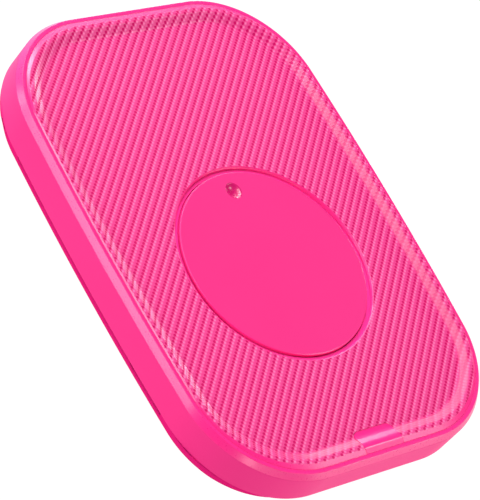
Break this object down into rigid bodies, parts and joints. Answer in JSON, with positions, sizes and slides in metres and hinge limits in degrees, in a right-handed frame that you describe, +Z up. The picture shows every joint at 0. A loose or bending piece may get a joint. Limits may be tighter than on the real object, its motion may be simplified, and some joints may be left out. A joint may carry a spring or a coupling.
{
  "type": "mouse jiggler",
  "caption": "Flat rounded pad with a raised textured lip, a slow motor-driven turntable disc under the mouse, a push button on the lip and a USB-C inlet.",
  "frame": {"origin": "on the desk, under the middle of the pad's outline", "axes": "+Z up, +Y along the pad's length to the end with the USB-C inlet, -Y to the end with the power button, +X to the right"},
  "size_m": [0.094, 0.13, 0.0155],
  "materials": {
    "textured_cover": "moulded ABS with a raised twill texture",
    "pink_shell": "satin moulded ABS",
    "bottom_shell": "satin moulded ABS",
    "satin_disc": "fine satin moulded ABS",
    "glossy_button": "polished moulded ABS",
    "foot_rubber": "matt silicone rubber",
    "screw_steel": "zinc plated",
    "pin_steel": "ground",
    "sintered_bronze": "sintered, oiled",
    "pinion_brass": "cut brass",
    "natural_nylon": "moulded nylon",
    "black_plastic": "moulded",
    "chip_epoxy": "moulded epoxy",
    "plated_steel": "nickel plated sheet",
    "coil_winding": "enamelled copper wire",
    "ferrite": "pressed ferrite",
    "circuit_board": "solder mask on glass epoxy",
    "ceramic_parts": "ceramic chip parts",
    "grey_wire": "PVC insulation",
    "red_wire": "PVC insulation"
  },
  "bodies": {
    "base": {"top_cover": "textured_cover", "side_frame": "pink_shell", "bottom_cover": "bottom_shell", "rubber_feet": "foot_rubber", "case_screws": "screw_steel", "spindle_pin": "pin_steel", "thrust_washer": "natural_nylon", "idler_axle": "pin_steel", "idler_washer": "black_plastic", "motor_can": "plated_steel", "motor_flange": "plated_steel", "motor_bearing": "sintered_bronze", "motor_coil": "coil_winding", "motor_terminals": "black_plastic", "motor_screws": "screw_steel", "main_board": "circuit_board", "usb_shell": "plated_steel", "usb_tongue": "black_plastic", "controller_chip": "chip_epoxy", "driver_chip": "chip_epoxy", "board_parts": "ceramic_parts", "board_screws": "screw_steel", "motor_socket": "natural_nylon", "motor_plug": "natural_nylon", "motor_leads": "grey_wire", "button_board": "circuit_board", "switch_case": "black_plastic", "button_leads": "red_wire"},
    "turntable": {"turntable_disc": "satin_disc", "turntable_gear": "natural_nylon", "gear_screws": "screw_steel", "turntable_bush": "sintered_bronze"},
    "idler": {"idler_gear": "natural_nylon"},
    "motor_rotor": {"motor_magnet": "ferrite", "motor_shaft": "pin_steel", "motor_pinion": "pinion_brass"},
    "button": {"power_button": "glossy_button"},
    "plunger": {"switch_plunger": "natural_nylon"}
  },
  "joints": [
    {"name": "turntable_spin", "type": "hinge", "parent": "base", "child": "turntable", "pos_m": [0.001, -0.01, 0.0078], "axis": [0, 0, 1], "continuous": true},
    {"name": "idler_spin", "type": "hinge", "parent": "base", "child": "idler", "pos_m": [0.001, 0.0116, 0.0078], "axis": [0, 0, 1], "continuous": true},
    {"name": "motor_spin", "type": "hinge", "parent": "base", "child": "motor_rotor", "pos_m": [0.001, 0.026, 0.0078], "axis": [0, 0, 1], "continuous": true},
    {"name": "button_press", "type": "slide", "parent": "base", "child": "button", "axis": [0, 0, -1], "range_m": [0, 0.0003], "stiffness_N_per_m": 1500, "springref_m": -0.0002},
    {"name": "plunger_press", "type": "slide", "parent": "base", "child": "plunger", "axis": [0, 0, -1], "range_m": [0, 0.0003]}
  ],
  "couplings": [
    {"joint": "idler_spin", "follows": "turntable_spin", "ratio": -5},
    {"joint": "motor_spin", "follows": "turntable_spin", "ratio": 15},
    {"joint": "plunger_press", "follows": "button_press", "ratio": 1}
  ]
}
